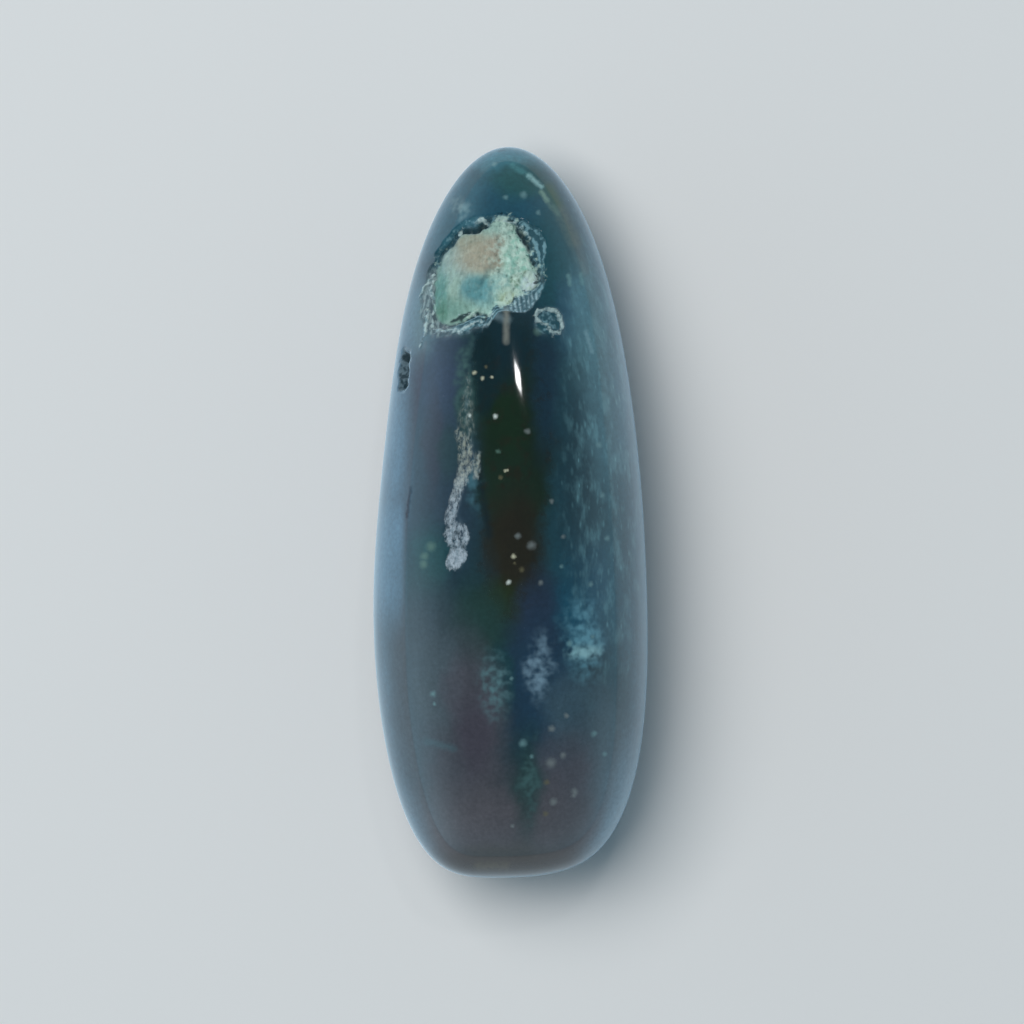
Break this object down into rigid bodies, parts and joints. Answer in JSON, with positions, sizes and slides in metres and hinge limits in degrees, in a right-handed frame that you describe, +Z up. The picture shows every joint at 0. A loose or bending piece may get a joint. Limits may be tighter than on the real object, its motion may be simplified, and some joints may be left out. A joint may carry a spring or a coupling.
{
  "type": "polished bloodstone",
  "caption": "Long, tapered, polished bloodstone pebble with a domed back, a crusted vug near its narrow end and a flat to rest on.",
  "frame": {"origin": "under the middle of the stone's box, on the flat that it rests on", "axes": "+Y along the stone towards its narrow end, +Z up through its domed side, +X to the right seen from above with the narrow end away"},
  "size_m": [0.0168, 0.045, 0.0132],
  "materials": {
    "polished_bloodstone": "polished"
  },
  "bodies": {
    "root": {"bloodstone": "polished_bloodstone"}
  },
  "joints": []
}
